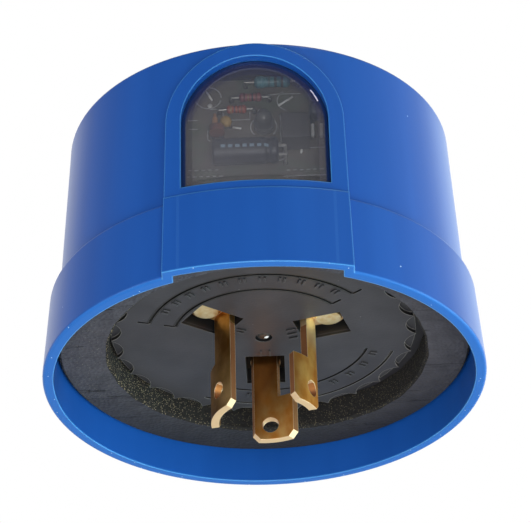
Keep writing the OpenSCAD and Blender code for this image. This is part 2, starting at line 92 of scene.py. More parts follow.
# %% Colours and nodes
MIX_SHARE, MIX_A, MIX_B, MIX_COLOUR = 0, 6, 7, 2


def linear(hex_colour):
    channels = [int(hex_colour[i : i + 2], 16) / 255 for i in (1, 3, 5)]
    return (*[c / 12.92 if c <= 0.04045 else ((c + 0.055) / 1.055) ** 2.4 for c in channels], 1.0)


def add_node(tree, kind, inputs, **settings):
    made = tree.nodes.new(kind)
    for name, value in settings.items():
        setattr(made, name, value)
    for key, value in inputs.items():
        if isinstance(value, bpy.types.NodeSocket):
            tree.links.new(value, made.inputs[key])
        else:
            made.inputs[key].default_value = value
    return made


WHITE = linear("#ffffff")
print("a mid grey is", round(linear("#808080")[0], 3), "in linear light")

# %% [markdown]
# ## White tent
# The switch stands in a white tent that is bright behind, below and to the right, and darker at the
# front where the camera is. Faces turned to the camera stay deep blue, and faces turned away shine
# pale. One gradient over the world gives that light. Rays that go straight from the camera to the
# world see plain white, so the backdrop stays clean.

# %% White tent
PALE_SIDE = Vector((0.42, 0.76, -0.5)).normalized()
DIM_FROM, PALE_FROM = -0.7, 0.85
DIM_LIGHT, PALE_LIGHT = 0.24, 1.25
scene = bpy.context.scene
scene.view_settings.view_transform = "Standard"
world = bpy.data.worlds.new("white_tent")
scene.world = world
world.use_nodes = True
sky = world.node_tree
sky.nodes.clear()
heading = add_node(sky, "ShaderNodeTexCoord", {})
toward = add_node(
    sky, "ShaderNodeVectorMath", {0: heading.outputs["Generated"], 1: PALE_SIDE}, operation="DOT_PRODUCT"
)
tent_light = add_node(
    sky,
    "ShaderNodeMapRange",
    {
        "Value": toward.outputs["Value"],
        "From Min": DIM_FROM,
        "From Max": PALE_FROM,
        "To Min": DIM_LIGHT,
        "To Max": PALE_LIGHT,
    },
)
tent = add_node(sky, "ShaderNodeBackground", {"Color": WHITE, "Strength": tent_light.outputs["Result"]})
backdrop = add_node(sky, "ShaderNodeBackground", {"Color": WHITE, "Strength": 1.0})
ray = add_node(sky, "ShaderNodeLightPath", {})
either = add_node(
    sky,
    "ShaderNodeMixShader",
    {0: ray.outputs["Is Camera Ray"], 1: tent.outputs[0], 2: backdrop.outputs[0]},
)
add_node(sky, "ShaderNodeOutputWorld", {"Surface": either.outputs[0]})
print("tent light from", DIM_LIGHT, "to", PALE_LIGHT)

# %% [markdown]
# ## Soft lights
# A gradient alone gives no clear shine, so square soft lights stand around the switch. The strongest
# is the cool softbox at the right, which draws the pale band down that side of the cap. Each light
# is turned to one target point near the middle of the switch.

# %% Soft lights
TARGET = Vector((0, 0, 5)) * MM


def soft_light(name, place, size, power, colour="#ffffff"):
    light = bpy.data.objects.new(name, bpy.data.lights.new(name, "AREA"))
    light.data.shape = "SQUARE"
    light.data.size = size
    light.data.energy = power
    light.data.color = linear(colour)[:3]
    light.location = place
    light.rotation_euler = (TARGET - Vector(place)).to_track_quat("-Z", "Y").to_euler()
    scene.collection.objects.link(light)


soft_light("right_softbox", (0.53, 0.06, -0.16), size=0.45, power=2.6, colour="#bceef0")
soft_light("low_right", (0.42, -0.12, -0.36), size=0.25, power=0.6)
soft_light("right_back", (0.32, 0.46, 0.36), size=0.4, power=0.4, colour="#d2f0ff")
soft_light("left_back", (-0.26, 0.48, 0.36), size=0.4, power=0.2)
soft_light("left_card", (-0.5, -0.25, -0.05), size=0.3, power=0.9, colour="#dcecff")
soft_light("low_fill", (0.05, -0.45, -0.3), size=0.25, power=1.55)
soft_light("top_lamp", (0.18, -0.26, 0.51), size=0.08, power=0.25)

# %% [markdown]
# ## Habits of a surface
# Every finish here is built from a few habits of real surfaces. The colour drifts a little over a
# few millimetres, and the skin has a fine grain under softly rounded edges. A fade runs from one
# colour to another along some measure, such as a height. Each habit is one short function, and its
# sizes are in millimetres. Real mould grain is near 0.05 mm wide, too fine to show here, so it is
# drawn about ten times coarser and very shallow.

# %% Drift, fade and grain
CLOUD_LOW, CLOUD_HIGH = 0.35, 0.65


def start_material(name, sockets):
    material = bpy.data.materials.new(name)
    material.use_nodes = True
    tree = material.node_tree
    shader = tree.nodes["Principled BSDF"]
    for socket, value in sockets.items():
        shader.inputs[socket].default_value = value
    place = add_node(tree, "ShaderNodeTexCoord", {}).outputs["Object"]
    return material, tree, shader, place


def faded(tree, along, start, end, ground, paint, most=1.0):
    share = add_node(
        tree, "ShaderNodeMapRange", {"Value": along, "From Min": start, "From Max": end, "To Max": most}
    )
    mix = add_node(
        tree,
        "ShaderNodeMix",
        {MIX_SHARE: share.outputs["Result"], MIX_A: ground, MIX_B: paint},
        data_type="RGBA",
    )
    return mix.outputs[MIX_COLOUR], share.outputs["Result"]


def drifting(tree, place, size, dark, light):
    clouds = add_node(tree, "ShaderNodeTexNoise", {"Vector": place, "Scale": 1 / (size * MM), "Detail": 3.0})
    colour, _ = faded(tree, clouds.outputs["Fac"], CLOUD_LOW, CLOUD_HIGH, linear(dark), linear(light))
    return colour


def grain(tree, shader, place, size, depth, edge=0.15):
    rounded = add_node(tree, "ShaderNodeBevel", {"Radius": edge * MM}, samples=6)
    pits = add_node(tree, "ShaderNodeTexNoise", {"Vector": place, "Scale": 1 / (size * MM), "Detail": 2.0})
    bump = add_node(
        tree,
        "ShaderNodeBump",
        {"Height": pits.outputs["Fac"], "Distance": depth * MM, "Normal": rounded.outputs["Normal"]},
    )
    tree.links.new(bump.outputs["Normal"], shader.inputs["Normal"])


print("colour drifts between noise levels", CLOUD_LOW, "and", CLOUD_HIGH)

# %% [markdown]
# ## Marks of use
# The second set of habits is wear, with some painted light. Dust sits as a few specks, picked by
# chance from a cell pattern. It is drawn 0.12 to 0.3 mm wide, coarser than real dust, so that a
# speck still shows. Pale edges, from wear and as painted highlight, are found with the Bevel node:
# where the rounded normal leans away from the flat one, an edge is near. A band paints one stretch
# of some measure, such as the heights of a groove.

# %% Dust, pale edges and bands
FLAT_FACE, AT_EDGE = 0.985, 0.9


def dusted(tree, place, colour, dust, spacing, width, share):
    cells = add_node(tree, "ShaderNodeTexVoronoi", {"Vector": place, "Scale": 1 / (spacing * MM)})
    near = add_node(
        tree, "ShaderNodeMath", {0: cells.outputs["Distance"], 1: width / spacing / 2}, operation="LESS_THAN"
    )
    tint = add_node(tree, "ShaderNodeSeparateColor", {0: cells.outputs["Color"]})
    chosen = add_node(tree, "ShaderNodeMath", {0: tint.outputs[0], 1: share}, operation="LESS_THAN")
    speck = add_node(
        tree, "ShaderNodeMath", {0: near.outputs[0], 1: chosen.outputs[0]}, operation="MULTIPLY"
    )
    mix = add_node(
        tree,
        "ShaderNodeMix",
        {MIX_SHARE: speck.outputs[0], MIX_A: colour, MIX_B: linear(dust)},
        data_type="RGBA",
    )
    return mix.outputs[MIX_COLOUR]


def edge_wear_and_highlight(tree, colour, pale, width, strength):
    rounded = add_node(tree, "ShaderNodeBevel", {"Radius": width * MM}, samples=8)
    facing = add_node(tree, "ShaderNodeNewGeometry", {})
    bend = add_node(
        tree,
        "ShaderNodeVectorMath",
        {0: rounded.outputs["Normal"], 1: facing.outputs["Normal"]},
        operation="DOT_PRODUCT",
    )
    pale_edged, _ = faded(tree, bend.outputs["Value"], FLAT_FACE, AT_EDGE, colour, linear(pale), strength)
    return pale_edged


def within(tree, along, centre, half):
    away = add_node(tree, "ShaderNodeMath", {0: along, 1: centre}, operation="SUBTRACT")
    size = add_node(tree, "ShaderNodeMath", {0: away.outputs[0]}, operation="ABSOLUTE")
    inside = add_node(tree, "ShaderNodeMath", {0: size.outputs[0], 1: half}, operation="LESS_THAN")
    return inside.outputs[0]


def banded(tree, along, centre, half, ground, paint, strength=1.0):
    inside = within(tree, along, centre, half)
    share = add_node(tree, "ShaderNodeMath", {0: inside, 1: strength}, operation="MULTIPLY")
    mix = add_node(
        tree, "ShaderNodeMix", {MIX_SHARE: share.outputs[0], MIX_A: ground, MIX_B: paint}, data_type="RGBA"
    )
    return mix.outputs[MIX_COLOUR], inside


def wear(material, *names):
    for name in names:
        for slot in nodes[name].material_slots:
            slot.material = material


print("an edge bends the normal by", round(math.degrees(math.acos(AT_EDGE))), "degrees or more")

# %% [markdown]
# ## Cap: moulded polypropylene
# The cap is one shot of blue polypropylene from a mould with a light satin. The colour goes all
# through, so wear shows paler and never bare. Satin plastic takes a middling roughness and a low
# shine, which turns the tent's white walls into soft pale bands. The colour drifts in long streaks
# down the walls, the way the mould opens, and two faint sink lines run down the panel under the
# window.

# %% Cap colour
# Satin polypropylene spreads each light into a wide, soft sheen.
material, tree, shader, place = start_material(
    "moulded_polypropylene_blue", {"Roughness": 0.32, "IOR": 1.49, "Specular IOR Level": 0.28}
)
DOWN_STREAK = (1.0, 1.0, 0.06)
SINK_X, SINK_HALF, SINK_SHARE = 13.7 * MM, 0.25 * MM, 0.1
PANEL_FRONT, PANEL_TOP = -36 * MM, 6 * MM
drawn_down = add_node(tree, "ShaderNodeMapping", {"Vector": place, "Scale": DOWN_STREAK})
blue = drifting(tree, drawn_down.outputs[0], 9, "#1853a6", "#1b58ad")
axes = add_node(tree, "ShaderNodeSeparateXYZ", {0: place})
side = add_node(tree, "ShaderNodeMath", {0: axes.outputs["X"]}, operation="ABSOLUTE")
front = add_node(tree, "ShaderNodeMath", {0: axes.outputs["Y"], 1: PANEL_FRONT}, operation="LESS_THAN")
below = add_node(tree, "ShaderNodeMath", {0: axes.outputs["Z"], 1: PANEL_TOP}, operation="LESS_THAN")
on_panel = add_node(tree, "ShaderNodeMath", {0: front.outputs[0], 1: below.outputs[0]}, operation="MULTIPLY")
faint = add_node(tree, "ShaderNodeMath", {0: on_panel.outputs[0], 1: SINK_SHARE}, operation="MULTIPLY")
blue, _ = banded(tree, side.outputs[0], SINK_X, SINK_HALF, blue, linear("#4c8ad0"), faint.outputs[0])
print("sink lines at", round(SINK_X / MM, 1), "mm to each side")

# %% [markdown]
# ## Cap: pale edges and the dark inside
# The cap's edges are pale, partly rubbed by handling and partly painted highlight, most of all the
# rim, which is also painted lighter and has small chips. The ceiling behind the lens is painted
# darker than the plastic is. The lens is drawn as a thin film, which lets more light in than the real
# one, and without the paint the inside would look too light.

# %% Cap edges and inside
RIM_Z, RIM_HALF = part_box("cap")[0].z, 0.3 * MM
CEILING_Z, CEILING_HALF = 36 * MM, 6 * MM
LENS_BACK = -35.5 * MM
FACES_DOWN = -0.5
# Pale edges are partly wear and partly painted highlight; the rim is painted lighter, partly as painted
# highlight, and has small chips.
blue = edge_wear_and_highlight(tree, blue, "#56a8ea", width=0.4, strength=0.65)
blue = dusted(tree, place, blue, "#a9c6ea", spacing=4, width=0.3, share=0.2)
pale_tone = edge_wear_and_highlight(tree, linear("#1f69bd"), "#62b0f0", width=0.4, strength=0.8)
rim_wear_and_highlight = dusted(tree, place, pale_tone, "#c3dcf4", spacing=1.1, width=0.24, share=0.3)
blue, _ = banded(tree, axes.outputs["Z"], RIM_Z, RIM_HALF, blue, rim_wear_and_highlight)

facing = add_node(tree, "ShaderNodeNewGeometry", {})
slope = add_node(tree, "ShaderNodeSeparateXYZ", {0: facing.outputs["Normal"]})
ceiling = add_node(tree, "ShaderNodeMath", {0: slope.outputs["Z"], 1: FACES_DOWN}, operation="LESS_THAN")
behind = add_node(tree, "ShaderNodeMath", {0: axes.outputs["Y"], 1: LENS_BACK}, operation="GREATER_THAN")
unlit = add_node(tree, "ShaderNodeMath", {0: ceiling.outputs[0], 1: behind.outputs[0]}, operation="MULTIPLY")
blue, _ = banded(
    tree, axes.outputs["Z"], CEILING_Z, CEILING_HALF, blue, linear("#1b1d26"), unlit.outputs[0]
)
tree.links.new(blue, shader.inputs["Base Color"])
grain(tree, shader, place, size=0.6, depth=0.006, edge=0.45)
wear(material, "cap")
print("cap:", material.name, "with its rim at", round(RIM_Z / MM, 1), "mm")

# %% [markdown]
# ## Lens: smoked polycarbonate
# The lens is clear plastic with a grey dye, moulded glossy, and hazy, more so toward its lower left
# corner. Real refraction would leave the board behind it nearly unlit, so the lens is a thin grey
# film: part of the light goes straight through, and the rest meets the haze and the gloss.

# %% Lens haze
# Glossy polycarbonate mirrors the lights clearly, and the haze greys what lies behind.
material, tree, shader, place = start_material("smoked_polycarbonate", {"Roughness": 0.16, "IOR": 1.585})
LOWER_LEFT = (-0.7, 0.0, -0.7)
HAZE_START, HAZE_FULL, HAZE_MOST = -21 * MM, -3 * MM, 0.75
haze = drifting(tree, place, 9, "#5f626c", "#696b75")
corner = add_node(tree, "ShaderNodeVectorMath", {0: place, 1: LOWER_LEFT}, operation="DOT_PRODUCT")
hazed, _ = faded(
    tree, corner.outputs["Value"], HAZE_START, HAZE_FULL, haze, linear("#95939a"), HAZE_MOST
)
print("haze grows over", round((HAZE_FULL - HAZE_START) / MM), "mm toward the lower left")

# %% [markdown]
# ## Lens: raised pad and border
# The lens has a raised arched pad with sloped flanks, and a thin border that sits in the cap's seat.
# Both follow one measure. Below the arch it is the distance from the middle line, and above that
# the distance from the arch's centre. The flanks are tinted and a little less clear, and over the
# arch their tint turns navy as painted shade and painted reflection of the blue frame. The border is
# painted dark blue as painted shade and painted reflection of the blue plastic right behind it.

# %% Lens pad and border
PAD_HALF, PAD_BLUR = 11.3 * MM, 0.1 * MM
BORDER_HALF, BORDER_BLUR = 12.45 * MM, 0.15 * MM
ARCH_SHADE_RISE = 6 * MM
PAD_COVER, FLANK_COVER, BORDER_COVER = 0.25, 0.38, 0.5
lens_low, lens_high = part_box("window_lens")
ARCH_Z = lens_high.z - (lens_high.x - lens_low.x) / 2
axes = add_node(tree, "ShaderNodeSeparateXYZ", {0: place})
above = add_node(tree, "ShaderNodeMath", {0: axes.outputs["Z"], 1: ARCH_Z}, operation="SUBTRACT")
over = add_node(tree, "ShaderNodeMath", {0: above.outputs[0], 1: 0.0}, operation="MAXIMUM")
spot = add_node(tree, "ShaderNodeCombineXYZ", {"X": axes.outputs["X"], "Y": over.outputs[0]})
reach = add_node(tree, "ShaderNodeVectorMath", {0: spot.outputs[0]}, operation="LENGTH").outputs["Value"]
# Over the arch the flanks turn navy: painted shade and painted reflection of the blue frame.
flank_tint_and_shade, _ = faded(tree, above.outputs[0], 0.0, ARCH_SHADE_RISE, linear("#75737b"), linear("#4a4d76"))
flanked, flank = faded(tree, reach, PAD_HALF - PAD_BLUR, PAD_HALF + PAD_BLUR, hazed, flank_tint_and_shade)
# The border's dark blue is painted shade and painted reflection of the blue frame.
border_shaded_colour, border = faded(
    tree, reach, BORDER_HALF - BORDER_BLUR, BORDER_HALF + BORDER_BLUR, flanked, linear("#1a305d")
)
solidity = add_node(
    tree, "ShaderNodeMapRange", {"Value": flank, "To Min": PAD_COVER, "To Max": FLANK_COVER}
)
shade = add_node(tree, "ShaderNodeMapRange", {"Value": border, "To Max": BORDER_COVER})
closed = add_node(
    tree, "ShaderNodeMath", {0: solidity.outputs["Result"], 1: shade.outputs["Result"]}, operation="ADD"
)
print("arch centre at", round(ARCH_Z / MM, 1), "mm")

# %% [markdown]
# ## Lens: a painted glint
# A short white glint stands on the right shoulder of the arch, where the lens meets the cap. The
# edge there is too thin to show it by itself, so it is a painted highlight: it lies where a narrow
# ring and a narrow fan of angles cross, on the outer side of the lens alone, and hides what is
# behind it.

# %% Lens glint
ARCH_GLINT_R, ARCH_GLINT_HALF = 12.35 * MM, 0.13 * MM
ARCH_GLINT_TURN, ARCH_GLINT_SPAN = 0.49, 0.11
LENS_MIDDLE = -35.9 * MM
outward = add_node(tree, "ShaderNodeMath", {0: axes.outputs["Y"], 1: LENS_MIDDLE}, operation="LESS_THAN")
swing = add_node(tree, "ShaderNodeMath", {0: over.outputs[0], 1: axes.outputs["X"]}, operation="ARCTAN2")
on_ring = within(tree, reach, ARCH_GLINT_R, ARCH_GLINT_HALF)
on_turn = within(tree, swing.outputs[0], ARCH_GLINT_TURN, ARCH_GLINT_SPAN)
crossing = add_node(tree, "ShaderNodeMath", {0: on_ring, 1: on_turn}, operation="MULTIPLY")
# The white stroke is a painted highlight, a glint on the arch's edge.
arch_glint = add_node(
    tree, "ShaderNodeMath", {0: crossing.outputs[0], 1: outward.outputs[0]}, operation="MULTIPLY"
)
glinted_lens = add_node(
    tree,
    "ShaderNodeMix",
    {MIX_SHARE: arch_glint.outputs[0], MIX_A: border_shaded_colour, MIX_B: linear("#f2ecf6")},
    data_type="RGBA",
)
covered = add_node(tree, "ShaderNodeMath", {0: closed.outputs[0], 1: arch_glint.outputs[0]}, operation="MAXIMUM")
tree.links.new(covered.outputs[0], shader.inputs["Alpha"])
dusty = dusted(tree, place, glinted_lens.outputs[MIX_COLOUR], "#b9b9bd", spacing=2.5, width=0.16, share=0.2)
tree.links.new(dusty, shader.inputs["Base Color"])
grain(tree, shader, place, size=3, depth=0.004)
wear(material, "window_lens")
print("lens:", material.name, "with a painted glint", round(2 * ARCH_GLINT_SPAN * ARCH_GLINT_R / MM, 1), "mm long")

# %% [markdown]
# ## Base: moulded phenolic
# The base is black thermosetting plastic from a blasted mould: a dull black with a fine dry grain.
# The engraved grooves are painted near black as painted shade, and the same painted shade lies
# beside the front arcs and makes them read wider. The walls of the three slots and the raised marks
# see little light and are painted darker as painted shade.

# %% Base colour
# Blasted phenolic is dull and dry to the eye, with hardly any sheen.
material, tree, shader, place = start_material("moulded_phenolic_black", {"Roughness": 0.52, "IOR": 1.6})
base_black = material
GROOVE_Z, GROOVE_HALF = 0.29 * MM, 0.25 * MM
RAISED_Z, RAISED_HALF = -0.15 * MM, 0.14 * MM
SLOT_Z, SLOT_HALF, SLOT_REACH = 4 * MM, 3.3 * MM, 24 * MM
ARC_TURN, ARC_SPAN = math.radians(-102), math.radians(61)
ARC_RADII, SHADE_BESIDE_HALF = (17.0, 22.0), 0.5 * MM
GROOVE_SHADE = linear("#0a0a0b")
black = drifting(tree, place, 7, "#2c2b30", "#36353a")
axes = add_node(tree, "ShaderNodeSeparateXYZ", {0: place})
# Groove floors and the raised marks are painted near black as painted shade.
black, _ = banded(tree, axes.outputs["Z"], GROOVE_Z, GROOVE_HALF, black, GROOVE_SHADE)
black, _ = banded(tree, axes.outputs["Z"], RAISED_Z, RAISED_HALF, black, linear("#121214"))
flat_place = add_node(tree, "ShaderNodeVectorMath", {0: place, 1: (1.0, 1.0, 0.0)}, operation="MULTIPLY")
from_axis = add_node(tree, "ShaderNodeVectorMath", {0: flat_place.outputs[0]}, operation="LENGTH")
reach = from_axis.outputs["Value"]
inner = add_node(tree, "ShaderNodeMath", {0: reach, 1: SLOT_REACH}, operation="LESS_THAN")
# The slot walls are painted darker as painted shade.
black, _ = banded(tree, axes.outputs["Z"], SLOT_Z, SLOT_HALF, black, linear("#0c0c0d"), inner.outputs[0])
swing = add_node(tree, "ShaderNodeMath", {0: axes.outputs["Y"], 1: axes.outputs["X"]}, operation="ARCTAN2")
on_arc = within(tree, swing.outputs[0], ARC_TURN, ARC_SPAN)
# Painted shade beside the front arcs makes them read wider.
for arc_radius in ARC_RADII:
    black, _ = banded(tree, reach, arc_radius * MM, SHADE_BESIDE_HALF, black, GROOVE_SHADE, on_arc)
print("painted shade beside arcs of radius", ARC_RADII, "mm")

# %% [markdown]
# ## Base: pale edges and dust
# Phenolic leaves a thin pale flash where the mould closes. The edges are painted pale, partly as that
# flash and partly as painted highlight: the scalloped outer edge most, and the edges nearer the
# middle only a little. Pale dust has settled in the grain.

# %% Base pale edges and dust
FLASH_AND_HIGHLIGHT_REACH = 26 * MM
FLASH_AND_HIGHLIGHT_INSIDE, FLASH_AND_HIGHLIGHT_OUTSIDE = 0.16, 0.8
flash_and_highlight = add_node(
    tree,
    "ShaderNodeMapRange",
    {
        "Value": reach,
        "From Min": SLOT_REACH,
        "From Max": FLASH_AND_HIGHLIGHT_REACH,
        "To Min": FLASH_AND_HIGHLIGHT_INSIDE,
        "To Max": FLASH_AND_HIGHLIGHT_OUTSIDE,
    },
)
# Pale edges: partly mould flash, partly painted highlight.
black = edge_wear_and_highlight(tree, black, "#a3a09a", width=0.22, strength=flash_and_highlight.outputs["Result"])
dusty = dusted(tree, place, black, "#8b8987", spacing=2, width=0.18, share=0.12)
tree.links.new(dusty, shader.inputs["Base Color"])
grain(tree, shader, place, size=0.5, depth=0.03)
wear(base_black, "base_plate")
print("base:", base_black.name)

# %% [markdown]
# ## Foam ring: finish
# The gasket is die-cut from a sheet of closed-cell foam, so it is dull and full of cells. Its face
# has long creases, drawn as thin dark lines of painted shade, and grit at the left, and it is painted
# darker toward the rear as painted shade, where the skirt's rear wall keeps the light off. The wall
# of its hole is torn, and the open cells there carry a painted sparkle, most at the left, where the
# light from the right falls on them.
# Real cells are near 0.1 mm wide. They are drawn 0.25 mm apart as specks and 0.7 mm wide as relief,
# so that they show.

# %% Foam finish
# Cut foam scatters light all ways, so it has no sheen at all.
foam_black, tree, shader, place = start_material("cut_foam_black", {"Roughness": 0.95, "IOR": 1.5})
CREASE_RUN, CREASE_WIDTH = (0.045, 1.0, 1.0), 2.6
CREASE_LEVELS, CREASE_HALF, CREASE_SHARE = (0.36, 0.62), 0.006, 0.8
WALL_SLOPE = 0.75
TORN_START, TORN_FULL = -8 * MM, -26 * MM
GRIT_START, GRIT_FULL = -27 * MM, -32 * MM
REAR_SHADE_START, REAR_SHADE_FULL, REAR_SHADE_MOST = 2 * MM, 32 * MM, 0.85
CELL_WIDTH, CELL_DEPTH = 0.7, 0.2
soot = drifting(tree, place, 3, "#424147", "#4d4c52")
streak = add_node(tree, "ShaderNodeMapping", {"Vector": place, "Scale": CREASE_RUN})
folds = add_node(
    tree,
    "ShaderNodeTexNoise",
    {"Vector": streak.outputs[0], "Scale": 1 / (CREASE_WIDTH * MM), "Detail": 1.0},
)
# The dark crease lines are painted shade.
crease_shaded = soot
for level in CREASE_LEVELS:
    crease_shaded, _ = banded(
        tree, folds.outputs["Fac"], level, CREASE_HALF, crease_shaded, linear("#1b1b1e"), CREASE_SHARE
    )
# Pale specks on the torn wall are painted sparkle, brightest at the left.
torn_pale = dusted(tree, place, linear("#1b1916"), "#b8aa86", spacing=0.25, width=0.15, share=0.45)
torn_dim = dusted(tree, place, linear("#1d1b19"), "#6f6650", spacing=0.25, width=0.15, share=0.45)
gritty = dusted(tree, place, crease_shaded, "#8f897b", spacing=0.3, width=0.12, share=0.3)
axes = add_node(tree, "ShaderNodeSeparateXYZ", {0: place})
torn, _ = faded(tree, axes.outputs["X"], TORN_START, TORN_FULL, torn_dim, torn_pale)
skin, _ = faded(tree, axes.outputs["X"], GRIT_START, GRIT_FULL, crease_shaded, gritty)
# Darker toward the rear: painted shade.
rear_shaded, _ = faded(tree, axes.outputs["Y"], REAR_SHADE_START, REAR_SHADE_FULL, skin, linear("#18191f"), REAR_SHADE_MOST)
facing = add_node(tree, "ShaderNodeNewGeometry", {})
slope = add_node(tree, "ShaderNodeSeparateXYZ", {0: facing.outputs["Normal"]})
foam, _ = banded(tree, slope.outputs["Z"], 0.0, WALL_SLOPE, rear_shaded, torn)
cells = add_node(tree, "ShaderNodeTexVoronoi", {"Vector": place, "Scale": 1 / (CELL_WIDTH * MM)})
pits = add_node(tree, "ShaderNodeBump", {"Height": cells.outputs["Distance"], "Distance": CELL_DEPTH * MM})
tree.links.new(foam, shader.inputs["Base Color"])
tree.links.new(pits.outputs["Normal"], shader.inputs["Normal"])
print("foam:", foam_black.name)

# %% [markdown]
# ## Foam ring: section
# A die-cut edge wavers a little, and the hole bulges at the rear right, where the foam was stretched
# over the base. A true circle would look like moulded rubber. The section has softened lower edges,
# and its inner radius follows smooth noise, so it is worked out anew for every angle.

# %% Foam section
foam_low, foam_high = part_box("gasket")
FOAM_R = (foam_high.x - foam_low.x) / 2
SKIRT_PLAY, LEDGE_PLAY = 0.1 * MM, 0.02 * MM
HOLE_R, HOLE_AT = 29.5 * MM, Vector((0.5, 0.4, 0)) * MM
BULGE, BULGE_TURN, BULGE_SPAN = 1.1 * MM, math.radians(42), math.radians(34)
WAVER, WAVER_TURNS, WAVER_PACE = 0.28 * MM, 3, 2.2
FOAM_EDGE = 0.5 * MM
FOAM_ROWS = 10


def hole_radius(turn):
    away = (turn - BULGE_TURN + math.pi) % (2 * math.pi) - math.pi
    bulge = BULGE * math.exp(-((away / BULGE_SPAN) ** 2))
    along = Vector((math.cos(turn), math.sin(turn), 0)) * WAVER_TURNS
    return HOLE_R + bulge + WAVER * noise.noise(along * WAVER_PACE)


def foam_section(turn):
    inner, outer = hole_radius(turn), FOAM_R - SKIRT_PLAY
    low, high = foam_low.z, foam_high.z - LEDGE_PLAY
    face_run = inner + 2 * FOAM_EDGE - outer
    section = [(outer, high), (outer, low + FOAM_EDGE), (outer - FOAM_EDGE, low)]
    section += [(outer - FOAM_EDGE + face_run * k / FOAM_ROWS, low) for k in range(1, FOAM_ROWS)]
    section += [(inner + FOAM_EDGE, low), (inner, low + FOAM_EDGE), (inner, high)]
    return section


print("hole radius at the bulge:", round(hole_radius(BULGE_TURN) / MM, 1), "mm")

# %% [markdown]
# ## Foam ring: mesh
# The ring is a lathe of that section, one step to a degree, and shallow dents in its face come from
# the same kind of noise. The piece rides on the root body. It takes the place of the plain solid
# ring, which is hidden.

# %% Foam ring
FOAM_STEPS = 360
DENT, DENT_SIZE = 0.12 * MM, 2.4 * MM


def mesh_piece(name, bm, material):
    mesh = bpy.data.meshes.new(name)
    bm.normal_update()
    bm.to_mesh(mesh)
    bm.free()
    piece = bpy.data.objects.new(name, mesh)
    scene.collection.objects.link(piece)
    mesh.materials.append(material)
    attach(piece, "root")
    return piece


bm = bmesh.new()
rings = []
for k in range(FOAM_STEPS):
    turn = 2 * math.pi * k / FOAM_STEPS
    out = Vector((math.cos(turn), math.sin(turn), 0))
    section = foam_section(turn)
    last = len(section) - 1
    ring = []
    for i, (r, z) in enumerate(section):
        shift = HOLE_AT * (i / last)
        on_face = 2 < i < last - 2
        dent = DENT * noise.noise((out * r + Vector((0, 0, z))) / DENT_SIZE) if on_face else 0
        ring.append(bm.verts.new(out * r + shift + Vector((0, 0, z + dent))))
    rings.append(ring)
for k, ring in enumerate(rings):
    after = rings[(k + 1) % FOAM_STEPS]
    for i in range(len(ring)):
        j = (i + 1) % len(ring)
        bm.faces.new((ring[i], after[i], after[j], ring[j]))
bmesh.ops.recalc_face_normals(bm, faces=bm.faces)
foam_ring = mesh_piece("foam_ring", bm, foam_black)
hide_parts("gasket")
print("foam ring:", len(foam_ring.data.polygons), "faces")

# %% [markdown]
# ## Blades: rolled faces of brass
# The blades are punched from rolled brass strip and bent to the plug's ring. The rolled faces have
# tarnished brown in patches. The right blade is cleaner and is painted lighter, partly as painted
# light, and a painted highlight shines at its neck; the rear blade is rubbed bright toward its lower
# right. Rubbed brass is covered in fine scratches, so it is rougher than the tarnish, and the
# roughness follows the same fades.

# %% Rolled faces
# Rolled brass has a warm, slightly blurred shine, and its tarnish is brown.
material, tree, shader, place = start_material("punched_brass", {"Metallic": 1.0})
ROLLING_RUN = (1.0, 1.0, 0.6)
RUB_WAY, RUB_START, RUB_FULL = (1.0, 0.0, -0.6), 3 * MM, 12 * MM
REAR_FROM = 5 * MM
CLEAN_LIT_START, CLEAN_LIT_FULL, CLEAN_LIT_MOST = 3 * MM, 8 * MM, 0.9
NECK_HIGHLIGHT_START, NECK_HIGHLIGHT_FULL, NECK_HIGHLIGHT_MOST = -6 * MM, -2 * MM, 0.7
TARNISH_ROUGH, RUBBED_ROUGH = 0.36, 0.54
rolling = add_node(tree, "ShaderNodeMapping", {"Vector": place, "Scale": ROLLING_RUN}).outputs[0]
tarnished = drifting(tree, rolling, 4, "#a8702f", "#f0b66a")
bright = drifting(tree, rolling, 2.5, "#e48c34", "#ffc268")
shaded = drifting(tree, rolling, 3, "#8a582c", "#a46a32")
pale_tone = drifting(tree, rolling, 2, "#f0a44a", "#ffd080")
axes = add_node(tree, "ShaderNodeSeparateXYZ", {0: place})
sweep = add_node(tree, "ShaderNodeVectorMath", {0: place, 1: RUB_WAY}, operation="DOT_PRODUCT")
swept, handled = faded(tree, sweep.outputs["Value"], RUB_START, RUB_FULL, shaded, pale_tone)
rear = add_node(tree, "ShaderNodeMath", {0: axes.outputs["Y"], 1: REAR_FROM}, operation="GREATER_THAN")
aged = add_node(
    tree, "ShaderNodeMix", {MIX_SHARE: rear.outputs[0], MIX_A: tarnished, MIX_B: swept}, data_type="RGBA"
)
# The right blade's lighter brass is partly clean brass, partly painted light.
face_brass, clean_and_lit = faded(
    tree, axes.outputs["X"], CLEAN_LIT_START, CLEAN_LIT_FULL, aged.outputs[MIX_COLOUR], bright, CLEAN_LIT_MOST
)
# A painted highlight on the right blade's neck.
neck_highlight_share = add_node(
    tree,
    "ShaderNodeMapRange",
    {"Value": axes.outputs["Z"], "From Min": NECK_HIGHLIGHT_START, "From Max": NECK_HIGHLIGHT_FULL, "To Max": NECK_HIGHLIGHT_MOST},
)
neck_highlight = add_node(tree, "ShaderNodeMath", {0: neck_highlight_share.outputs["Result"], 1: clean_and_lit}, operation="MULTIPLY")
rolled = add_node(
    tree,
    "ShaderNodeMix",
    {MIX_SHARE: neck_highlight.outputs[0], MIX_A: face_brass, MIX_B: linear("#fff0c4")},
    data_type="RGBA",
)
rubbed_rear = add_node(tree, "ShaderNodeMath", {0: handled, 1: rear.outputs[0]}, operation="MULTIPLY")
scuffed = add_node(tree, "ShaderNodeMath", {0: clean_and_lit, 1: rubbed_rear.outputs[0]}, operation="MAXIMUM")
dulled = add_node(
    tree,
    "ShaderNodeMapRange",
    {"Value": scuffed.outputs[0], "To Min": TARNISH_ROUGH, "To Max": RUBBED_ROUGH},
)
